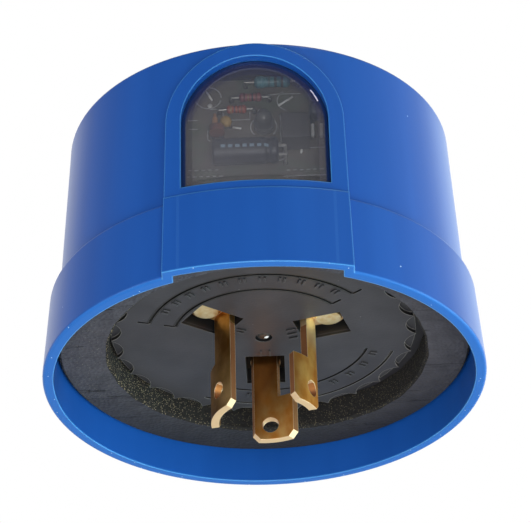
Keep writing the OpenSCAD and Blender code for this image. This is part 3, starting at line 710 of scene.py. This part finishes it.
print("brass roughness from", TARNISH_ROUGH, "to", RUBBED_ROUGH)

# %% [markdown]
# ## Blades: sheared edges
# A punch leaves the edges sheared: fresh, pale and rough. A rolled face looks along the plug's
# radius and a sheared edge across it, so the direction of a face tells the two apart. Under sides
# are paler than side edges, and the walls of the holes in the front pair look coppery.

# %% Sheared edges
ROLLED_LOOK, SHEARED_LOOK = 0.75, 0.45
HANGS_BELOW = -1 * MM
SHEARED_ROUGH = 0.66
SIDE_SLOPE, UNDER_SLOPE = -0.15, -0.5
HOLE_Z, HOLE_HALF = -14 * MM, 1.5 * MM
flat_place = add_node(tree, "ShaderNodeVectorMath", {0: place, 1: (1.0, 1.0, 0.0)}, operation="MULTIPLY")
radius = add_node(tree, "ShaderNodeVectorMath", {0: flat_place.outputs[0]}, operation="NORMALIZE")
facing = add_node(tree, "ShaderNodeNewGeometry", {})
across = add_node(
    tree,
    "ShaderNodeVectorMath",
    {0: radius.outputs[0], 1: facing.outputs["Normal"]},
    operation="DOT_PRODUCT",
)
upright = add_node(tree, "ShaderNodeMath", {0: across.outputs["Value"]}, operation="ABSOLUTE")
sheared = add_node(
    tree,
    "ShaderNodeMapRange",
    {"Value": upright.outputs[0], "From Min": ROLLED_LOOK, "From Max": SHEARED_LOOK},
)
hanging = add_node(tree, "ShaderNodeMath", {0: axes.outputs["Z"], 1: HANGS_BELOW}, operation="LESS_THAN")
cut = add_node(
    tree, "ShaderNodeMath", {0: sheared.outputs["Result"], 1: hanging.outputs[0]}, operation="MULTIPLY"
)
torn_metal = add_node(tree, "ShaderNodeMath", {0: cut.outputs[0], 1: SHEARED_ROUGH}, operation="MULTIPLY")
roughness = add_node(
    tree, "ShaderNodeMath", {0: dulled.outputs["Result"], 1: torn_metal.outputs[0]}, operation="MAXIMUM"
)
tree.links.new(roughness.outputs[0], shader.inputs["Roughness"])

slope = add_node(tree, "ShaderNodeSeparateXYZ", {0: facing.outputs["Normal"]})
front_pair = add_node(tree, "ShaderNodeMath", {0: 1.0, 1: rear.outputs[0]}, operation="SUBTRACT")
pale_brass, coppery = linear("#f6d9b0"), linear("#c98d55")
under, _ = banded(tree, axes.outputs["Z"], HOLE_Z, HOLE_HALF, pale_brass, coppery, front_pair.outputs[0])
sided, _ = faded(tree, slope.outputs["Z"], SIDE_SLOPE, UNDER_SLOPE, linear("#aa764e"), under)
brass = add_node(
    tree,
    "ShaderNodeMix",
    {MIX_SHARE: cut.outputs[0], MIX_A: rolled.outputs[MIX_COLOUR], MIX_B: sided},
    data_type="RGBA",
)
# Pale edges on the brass are painted highlight.
edge_highlighted = edge_wear_and_highlight(tree, brass.outputs[MIX_COLOUR], "#ffe6c0", width=0.16, strength=1.0)
tree.links.new(edge_highlighted, shader.inputs["Base Color"])
grain(tree, shader, rolling, size=0.5, depth=0.006)
wear(material, "line_blade", "load_blade", "neutral_blade")
print("blades:", material.name, "with holes at", round(HOLE_Z / MM), "mm")

# %% [markdown]
# ## Rivets and screw
# The rivets are brass pins with hammered heads. The screw is zinc-plated steel that has gone dark
# and dull. Its rim is painted pale at the left as a painted highlight, and one spot is a painted
# glint in white, made non-metallic so that it stays white.

# %% Rivets and screw
# Hammered brass is pale and softly shiny, with small dimples.
material, tree, shader, place = start_material("upset_brass", {"Metallic": 1.0, "Roughness": 0.42})
tree.links.new(drifting(tree, place, 1.5, "#f0d498", "#fff0c8"), shader.inputs["Base Color"])
grain(tree, shader, place, size=0.6, depth=0.02)
wear(material, "blade_rivets")

# Old zinc plate is a dark grey with a blurred shine.
material, tree, shader, place = start_material("zinc_plated_steel", {"Roughness": 0.5})
RIM_HIGHLIGHT_START, RIM_HIGHLIGHT_FULL = -0.5 * MM, -1.1 * MM
SPOT_GLINT_AT, SPOT_GLINT_R = Vector((0.55, 0.2, 0.1)) * MM, 0.42 * MM
zinc = drifting(tree, place, 0.8, "#4a4948", "#63615f")
axes = add_node(tree, "ShaderNodeSeparateXYZ", {0: place})
# The rim's pale left side is a painted highlight.
rim_highlight_share = add_node(
    tree,
    "ShaderNodeMapRange",
    {"Value": axes.outputs["X"], "From Min": RIM_HIGHLIGHT_START, "From Max": RIM_HIGHLIGHT_FULL},
)
rim_highlighted = edge_wear_and_highlight(tree, zinc, "#ffffff", width=0.3, strength=rim_highlight_share.outputs["Result"])
# The white spot is a painted glint, made non-metallic.
apart = add_node(tree, "ShaderNodeVectorMath", {0: place, 1: SPOT_GLINT_AT}, operation="DISTANCE")
spot_glinted, spot_glint = banded(tree, apart.outputs["Value"], 0.0, SPOT_GLINT_R, rim_highlighted, WHITE)
metal_share = add_node(tree, "ShaderNodeMath", {0: 1.0, 1: spot_glint}, operation="SUBTRACT")
tree.links.new(metal_share.outputs[0], shader.inputs["Metallic"])
tree.links.new(spot_glinted, shader.inputs["Base Color"])
grain(tree, shader, place, size=0.3, depth=0.01)
wear(material, "centre_screw")
print("rivets: upset brass, screw:", material.name)

# %% [markdown]
# ## Boards
# The circuit board is a glass-and-resin laminate under a thin lacquer, which has aged to a grey
# brown with greenish patches a few millimetres wide. The inner board is phenolic paper, pressed from
# sheets whose fibres run one way.

# %% Boards
# Lacquered laminate is smooth, so it mirrors a soft sheen over its mottled colour.
material, tree, shader, place = start_material("lacquered_laminate_mottled", {"Roughness": 0.3, "IOR": 1.5})
PATCH_WIDTH, PATCH_LOW, PATCH_HIGH = 5, 0.45, 0.65
lacquer = drifting(tree, place, 9, "#686057", "#7a7467")
green = drifting(tree, place, 2.5, "#56604e", "#6d7562")
patch = add_node(
    tree, "ShaderNodeTexNoise", {"Vector": place, "Scale": 1 / (PATCH_WIDTH * MM), "Detail": 1.0}
)
mottled, _ = faded(tree, patch.outputs["Fac"], PATCH_LOW, PATCH_HIGH, lacquer, green)
tree.links.new(mottled, shader.inputs["Base Color"])
grain(tree, shader, place, size=0.4, depth=0.008)
wear(material, "circuit_board")

# Phenolic paper is dark, dry and faintly streaked.
material, tree, shader, place = start_material(
    "phenolic_paper_brown", {"Roughness": 0.6, "IOR": 1.55, "Specular IOR Level": 0.15}
)
FIBRE_RUN = (0.2, 1.0, 1.0)
fibres = add_node(tree, "ShaderNodeMapping", {"Vector": place, "Scale": FIBRE_RUN})
tree.links.new(drifting(tree, fibres.outputs[0], 1.5, "#1c140e", "#281d14"), shader.inputs["Base Color"])
grain(tree, shader, place, size=0.5, depth=0.01)
wear(material, "terminal_board")
print("boards: lacquered laminate and phenolic paper")

# %% [markdown]
# ## Resistors: dipped lacquer
# A resistor is a small rod dipped in coloured lacquer, with painted rings and a tinned lead at each
# end. Rod and leads are one solid, so the finish turns from lacquer to tin beyond the body's own
# reach along its axis, and the metal starts there too.

# %% Resistors
# Dipped lacquer is smooth and rounded, so it carries small soft highlights.
# A body is 5.5 ring steps or 26 half ring widths long.
# The bare lead's tin is painted brighter than the other tin, partly as painted highlight.
TIN, BARE_TIN_HIGHLIGHT = "#a19f99", "#f4f2ee"
RING_STEPS, RING_HALVES = 5.5, 26


def part_finish(name, node, dark, light, roughness):
    material, tree, shader, place = start_material(name, {"Roughness": roughness, "IOR": 1.52})
    grain(tree, shader, place, size=0.6, depth=0.003)
    wear(material, node)
    return tree, shader, place, drifting(tree, place, 1.4, dark, light)


RESISTORS = {
    "dropper_resistor": ("#37707a", "#45838c", 6.6, ["#4f8c98", "#3a646c", "#2c4248", "#253034"]),
    "bias_resistor": ("#824248", "#964e50", 4.1, ["#5c2f22", "#8a6a3e", "#2b2b30", "#6a4034"]),
    "gate_resistor": ("#a04630", "#b4553a", 3.6, ["#96743c", "#4a2b3b", "#6a3b22", "#7c4a30"]),
}
for node, (dark, light, length, rings) in RESISTORS.items():
    low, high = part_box(node)
    middle = (low.x + high.x) / 2
    tree, shader, place, colour = part_finish("dipped_lacquer_" + node, node, dark, light, 0.4)
    across = add_node(tree, "ShaderNodeSeparateXYZ", {0: place}).outputs["X"]
    for k, ring in enumerate(rings):
        ring_at = middle + (k - (len(rings) - 1) / 2) * length * MM / RING_STEPS
        colour, _ = banded(tree, across, ring_at, length * MM / RING_HALVES, colour, linear(ring))
    colour, body = banded(tree, across, middle, length / 2 * MM, linear(TIN), colour)
    tree.links.new(colour, shader.inputs["Base Color"])
    metal = add_node(tree, "ShaderNodeMath", {0: 1.0, 1: body}, operation="SUBTRACT")
    tree.links.new(metal.outputs[0], shader.inputs["Metallic"])
print("resistors:", list(RESISTORS))

# %% [markdown]
# ## Other small parts
# The rest are cast, moulded or dipped bodies that stand on the board. Their leads enter the board
# right at its face, so a thin band of depth there turns to tin. The arrester also shows a length of
# bare lead at its foot, painted brighter than the other tin, partly as painted highlight. Each row
# gives the finish, its two colours, its roughness and that length.

# %% Other small parts
# Cast epoxy and glass look wet, and dipped or moulded bodies a little waxy.
board_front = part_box("circuit_board")[0].y
LEAD_REACH = 0.3 * MM
SMALL_PARTS = {
    "light_sensor": ("cast_epoxy_smoked", "#4f4e4c", "#5d5c58", 0.18, 0),
    "film_capacitor": ("moulded_polyester_grey", "#4c4848", "#585452", 0.45, 0),
    "bead_capacitor": ("dipped_epoxy_yellow", "#a5822f", "#bd9844", 0.35, 0),
    "glass_diode": ("drawn_glass_amber", "#a8744a", "#c4905f", 0.15, 0),
    "disc_capacitor": ("dipped_phenolic_brown", "#6b3f2e", "#834d38", 0.5, 0),
    "surge_arrester": ("dipped_epoxy_slate", "#2c3038", "#3b414b", 0.45, 2.45),
}
for node, (name, dark, light, roughness, bare_lead) in SMALL_PARTS.items():
    tree, shader, place, colour = part_finish(name, node, dark, light, roughness)
    axes = add_node(tree, "ShaderNodeSeparateXYZ", {0: place})
    colour, lead = banded(tree, axes.outputs["Y"], board_front, LEAD_REACH, colour, linear(TIN))
    if bare_lead:
        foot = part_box(node)[0].z
        colour, _ = banded(tree, axes.outputs["Z"], foot, bare_lead * MM, colour, linear(BARE_TIN_HIGHLIGHT))
    tree.links.new(colour, shader.inputs["Base Color"])
    tree.links.new(lead, shader.inputs["Metallic"])
print("other small parts:", list(SMALL_PARTS))

# %% [markdown]
# ## Big capacitor: shrunk sleeve
# The capacitor is an aluminium can in a black plastic sleeve that was shrunk on with hot air. A row
# of short pale dashes runs along the side that faces the window, as on many such parts. Beyond the
# sleeve's length the finish turns to tin for the leads.

# %% Big capacitor
# A shrunk sleeve is tight and satin, so it shows one long soft highlight.
SLEEVE_LEN = 12
DASH_STEP, DASH_HALF = 1.3 * MM, 0.4 * MM
STRIPE_DROP, STRIPE_HALF = 0.4 * MM, 0.3 * MM
FACE_DEPTH, STRIPE_REACH = 1.6 * MM, 4.6 * MM
can_low, can_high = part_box("filter_capacitor")
can_left, can_right = can_low.x, can_low.x + SLEEVE_LEN * MM
can_middle, can_z = (can_left + can_right) / 2, (can_low.z + can_high.z) / 2
tree, shader, place, colour = part_finish("shrunk_sleeve", "filter_capacitor", "#1b1f27", "#272c36", 0.42)
axes = add_node(tree, "ShaderNodeSeparateXYZ", {0: place})
beat = add_node(tree, "ShaderNodeMath", {0: axes.outputs["X"], 1: DASH_STEP}, operation="FLOORED_MODULO")
dashes, _ = banded(tree, beat.outputs[0], DASH_STEP / 2, DASH_HALF, colour, linear("#7f96a6"))
striped, _ = banded(tree, axes.outputs["Z"], can_z - STRIPE_DROP, STRIPE_HALF, colour, dashes)
outer, _ = banded(tree, axes.outputs["Y"], can_low.y, FACE_DEPTH, colour, striped)
sleeve, _ = banded(tree, axes.outputs["X"], can_middle, STRIPE_REACH, colour, outer)
canned, _ = banded(tree, axes.outputs["X"], can_middle, SLEEVE_LEN / 2 * MM, linear(TIN), sleeve)
tree.links.new(canned, shader.inputs["Base Color"])
print("capacitor from", round(can_left / MM, 1), "to", round(can_right / MM, 1), "mm")

# %% [markdown]
# ## Relay and wires
# The relay is a sealed box of white nylon on the back of the board. The link wires are tinned copper
# that has oxidised, so they are only partly metallic and quite rough, and the solder shares that
# finish.

# %% Relay and wires
# Moulded nylon is milky and softly shiny.
material, tree, shader, place = start_material("moulded_nylon_white", {"Roughness": 0.45, "IOR": 1.53})
tree.links.new(drifting(tree, place, 6, "#cfcfc8", "#dcdcd6"), shader.inputs["Base Color"])
grain(tree, shader, place, size=0.4, depth=0.01)
wear(material, "relay")

# Oxidised tin is a bright but dull grey white, painted near white, partly as painted highlight.
tinned, tree, shader, place = start_material("tinned_copper", {"Metallic": 0.35, "Roughness": 0.6})
tree.links.new(drifting(tree, place, 1.2, "#ece9e2", "#ffffff"), shader.inputs["Base Color"])
grain(tree, shader, place, size=0.4, depth=0.01)
wear(tinned, "link_wires")
print("relay:", material.name, "wires:", tinned.name)

# %% [markdown]
# ## Board print: a ribbon of ink
# White ink outlines show where each part goes. Screened ink has a real thickness, so each line is a
# thin closed ribbon that lies on the board, and not a picture on it. One function turns a row of
# points on the board's face, in millimetres, into such a ribbon.

# %% Ribbon of ink
INK_LIFT = 0.04 * MM
DASH_PITCH, DASH_RUN = 1.2, 0.7


def ribbon(bm, points, width):
    half = width / 2 * MM
    flat = [Vector((x * MM, z * MM)) for x, z in points]
    last = len(flat) - 1
    edges = []
    for k, p in enumerate(flat):
        run = (flat[min(k + 1, last)] - flat[max(k - 1, 0)]).normalized()
        side = Vector((-run.y, run.x)) * half
        edges.append([p + side, p - side])
    bands = []
    for level in (board_front - INK_LIFT, board_front):
        bands.append([[bm.verts.new((v.x, level, v.y)) for v in pair] for pair in edges])
    top, bottom = bands
    for k in range(last):
        n = k + 1
        bm.faces.new((top[k][0], top[n][0], top[n][1], top[k][1]))
        bm.faces.new((bottom[k][1], bottom[n][1], bottom[n][0], bottom[k][0]))
        bm.faces.new((bottom[k][0], bottom[n][0], top[n][0], top[k][0]))
        bm.faces.new((top[k][1], top[n][1], bottom[n][1], bottom[k][1]))
    for k in (0, last):
        bm.faces.new((top[k][0], top[k][1], bottom[k][1], bottom[k][0]))


def arc(centre, radius, start, end, steps=24):
    turns = [math.radians(start + (end - start) * k / steps) for k in range(steps + 1)]
    return [(centre[0] + radius * math.cos(t), centre[1] + radius * math.sin(t)) for t in turns]


def dashed(start, level, count):
    starts = [start + DASH_PITCH * k for k in range(count)]
    return [[(x, level), (x + DASH_RUN, level)] for x in starts]


print("ink is", round(INK_LIFT / MM, 2), "mm thick")

# %% [markdown]
# ## Board print: the outlines
# The outlines are plain: circles and arcs around the round parts, corners beside the long ones, and
# rows of short dashes. Their points are in millimetres across and up the board.

# %% Board print
# Screened ink is matt and a little uneven, so it reads as chalky white.
material, tree, shader, place = start_material("screened_ink_white", {"Roughness": 0.6, "IOR": 1.5})
tree.links.new(drifting(tree, place, 0.8, "#a9a8a6", "#c6c5c2"), shader.inputs["Base Color"])
grain(tree, shader, place, size=0.3, depth=0.004)
INK_W = 0.22
INK_LINES = [
    arc((-8.6, 34.4), 2.4, 0, 345),
    [(-8.3, 31.8), (-5.9, 31.8)],
    arc((6.4, 33.2), 2.3, 120, 250),
    [(-5.9, 30.9), (-5.9, 29.2), (-1.0, 29.2), (-1.0, 30.9)],
    arc((1.5, 27.4), 2.4, 140, 225),
    arc((1.5, 27.4), 2.4, -45, 40),
    [(4.2, 29.9), (5.1, 29.9)],
    [(4.6, 29.9), (4.6, 23.6), (4.0, 23.6)],
    [(4.2, 23.8), (5.0, 22.9), *arc((4.0, 21.4), 1.6, 20, -80, 10), (2.8, 19.8)],
    [(-8.8, 27.0), (-8.8, 25.0), (-8.3, 24.6)],
    [(4.8, 16.3), (13.0, 16.3)],
    [(9.0, 22.4), (13.4, 22.4), (13.4, 26.6)],
    [(-12.4, 29.4), (-10.6, 29.4)],
    [(-12.2, 27.4), (-10.6, 27.4)],
    [(1.3, 34.2), (2.9, 34.7), (5.6, 34.8), (8.4, 34.7)],
    *dashed(-12.4, 18.2, 5),
    *dashed(-12.8, 16.8, 6),
    *dashed(5.4, 17.6, 6),
]
bm = bmesh.new()
for line in INK_LINES:
    ribbon(bm, line, INK_W)
bmesh.ops.recalc_face_normals(bm, faces=bm.faces)
board_print = mesh_piece("board_print", bm, material)
print("print lines:", len(INK_LINES), "with", len(board_print.data.polygons), "faces")

# %% [markdown]
# ## Solder joints
# Solder creeps up a lead while it is liquid and leaves a hollow fillet around it. Each joint is a
# lathe of that fillet, given as radius and height in millimetres from the board outward.

# %% Solder joints
FILLET = [(0.5, 0.0), (0.42, 0.07), (0.33, 0.13), (0.28, 0.3), (0.23, 0.32)]
FILLET_STEPS = 20
JOINTS = [(-8.3, 32.6), (0.9, 30.9), (1.9, 30.9)]


def solder_ring(bm, x, z):
    rows = []
    for radius, lift in FILLET:
        row = []
        for k in range(FILLET_STEPS):
            turn = 2 * math.pi * k / FILLET_STEPS
            right, up = x + radius * math.cos(turn), z + radius * math.sin(turn)
            row.append(bm.verts.new((right * MM, board_front - lift * MM, up * MM)))
        rows.append(row)
    for row, above in zip(rows, rows[1:]):
        for k in range(FILLET_STEPS):
            n = (k + 1) % FILLET_STEPS
            bm.faces.new((row[k], row[n], above[n], above[k]))
    bm.faces.new(rows[-1])
    bm.faces.new(rows[0][::-1])


bm = bmesh.new()
for x, z in JOINTS:
    solder_ring(bm, x, z)
print("solder joints:", len(JOINTS))

# %% [markdown]
# ## Lead ends
# A few leads lie flat on the board before they are cut. Each is a short closed rod from one point to
# another. They are tin like the joints, so both go into one piece, and smooth shading rounds them.

# %% Lead ends
LEAD_R, LEAD_SIDES = 0.2 * MM, 8
LEAD_ENDS = [
    ((-9.2, 36.3), (-7.9, 33.7)),
    ((4.3, 32.0), (7.0, 33.9)),
    ((-4.2, 27.4), (-2.6, 27.1)),
    ((8.3, 22.5), (8.2, 21.1)),
    ((12.6, 27.6), (12.7, 24.6)),
]


def lead_end(bm, start, end):
    a, b = [Vector((x * MM, board_front - LEAD_R, z * MM)) for x, z in (start, end)]
    side = (b - a).normalized().cross(Vector((0, 1, 0)))
    turns = [2 * math.pi * k / LEAD_SIDES for k in range(LEAD_SIDES)]
    outs = [(side * math.cos(t) + Vector((0, math.sin(t), 0))) * LEAD_R for t in turns]
    rows = [[bm.verts.new(spot + out) for out in outs] for spot in (a, b)]
    for k in range(LEAD_SIDES):
        n = (k + 1) % LEAD_SIDES
        bm.faces.new((rows[0][k], rows[0][n], rows[1][n], rows[1][k]))
    bm.faces.new(rows[0])
    bm.faces.new(rows[1])


for start, end in LEAD_ENDS:
    lead_end(bm, start, end)
bmesh.ops.recalc_face_normals(bm, faces=bm.faces)
solder = mesh_piece("solder", bm, tinned)
for face in solder.data.polygons:
    face.use_smooth = True
print("lead ends:", len(LEAD_ENDS))

# %% [markdown]
# ## Turning marks on the base
# Between its pairs of engraved arcs the base carries raised marks, plain short strokes as on a dial.
# They stand in pairs, and a loop sets them along each arc. A few more stand beside the slots.

# %% Turning marks
MARK_H, MARK_REACH, PAIR_HALF = 0.3 * MM, 0.65 * MM, 0.45 * MM
MARK_W, THIN_MARK_W = 0.4, 0.25
FRONT_MARKS = {"radius": 20.6, "start": -149, "end": -49, "count": 11}
REAR_MARKS = {"radius": 21.7, "start": 19, "end": 110, "count": 9}
SLOT_MARKS = [
    ((4.3, -2.4), (6.0, -3.0), MARK_W),
    ((4.5, -0.9), (6.2, -1.5), MARK_W),
    ((4.8, 0.5), (6.4, 0.0), MARK_W),
    ((-4.9, -3.7), (-3.2, -2.9), THIN_MARK_W),
    ((-4.8, -2.7), (-3.7, -2.2), THIN_MARK_W),
    ((-0.7, 4.7), (-0.8, 6.5), THIN_MARK_W),
    ((1.0, 4.6), (0.95, 6.5), THIN_MARK_W),
]


def raised_stroke(bm, start, end, width):
    run = (end - start).normalized()
    side = Vector((-run.y, run.x, 0)) * width / 2
    corners = [start + side, end + side, end - side, start - side]
    low = [bm.verts.new(c + Vector((0, 0, -MARK_H))) for c in corners]
    top = [bm.verts.new(c) for c in corners]
    bm.faces.new(low)
    bm.faces.new(top[::-1])
    for k in range(4):
        bm.faces.new((top[k], top[(k + 1) % 4], low[(k + 1) % 4], low[k]))


bm = bmesh.new()
for band in (FRONT_MARKS, REAR_MARKS):
    for k in range(band["count"]):
        turn = math.radians(band["start"] + (band["end"] - band["start"]) * k / (band["count"] - 1))
        out = Vector((math.cos(turn), math.sin(turn), 0))
        along = Vector((-out.y, out.x, 0)) * PAIR_HALF
        for shift in (-along, along):
            middle = out * band["radius"] * MM + shift
            raised_stroke(bm, middle - out * MARK_REACH, middle + out * MARK_REACH, MARK_W * MM)
for start, end, width in SLOT_MARKS:
    raised_stroke(bm, Vector((*start, 0)) * MM, Vector((*end, 0)) * MM, width * MM)
bmesh.ops.recalc_face_normals(bm, faces=bm.faces)
turning_marks = mesh_piece("turning_marks", bm, base_black)
print("turning marks:", len(turning_marks.data.polygons), "faces")

# %% [markdown]
# ## Floor
# A wide pale floor lies below the camera, so it catches light from above and sends a little back up
# into the skirt. The dim light leaves it grey, so camera rays see it paler, mixed with plain white,
# while the light that it gives back stays as it is.

# %% Floor
# Matt white paint has no sheen and hardly any drift of colour.
FLOOR_Z, FLOOR_HALF = -0.6, 4.0
FLOOR_PALER = 0.75
material, tree, shader, place = start_material("painted_floor_white", {"Roughness": 0.7})
tree.links.new(drifting(tree, place, 400, "#f3f3f3", "#f5f5f5"), shader.inputs["Base Color"])
ray = add_node(tree, "ShaderNodeLightPath", {})
seen = add_node(
    tree, "ShaderNodeMath", {0: ray.outputs["Is Camera Ray"], 1: FLOOR_PALER}, operation="MULTIPLY"
)
pale = add_node(tree, "ShaderNodeEmission", {"Color": WHITE, "Strength": 1.0})
washed = add_node(
    tree, "ShaderNodeMixShader", {0: seen.outputs[0], 1: shader.outputs[0], 2: pale.outputs[0]}
)
tree.links.new(washed.outputs[0], tree.nodes["Material Output"].inputs["Surface"])
bm = bmesh.new()
bmesh.ops.create_grid(bm, x_segments=2, y_segments=2, size=FLOOR_HALF)
floor_mesh = bpy.data.meshes.new("floor")
bm.to_mesh(floor_mesh)
bm.free()
floor = bpy.data.objects.new("floor", floor_mesh)
floor.location.z = FLOOR_Z
floor_mesh.materials.append(material)
scene.collection.objects.link(floor)
print("floor at", FLOOR_Z, "m")

# %% [markdown]
# ## Update
# The last cell brings the scene up to date. Nothing that was added reaches beyond the solids.

# %% Update
bpy.context.view_layer.update()
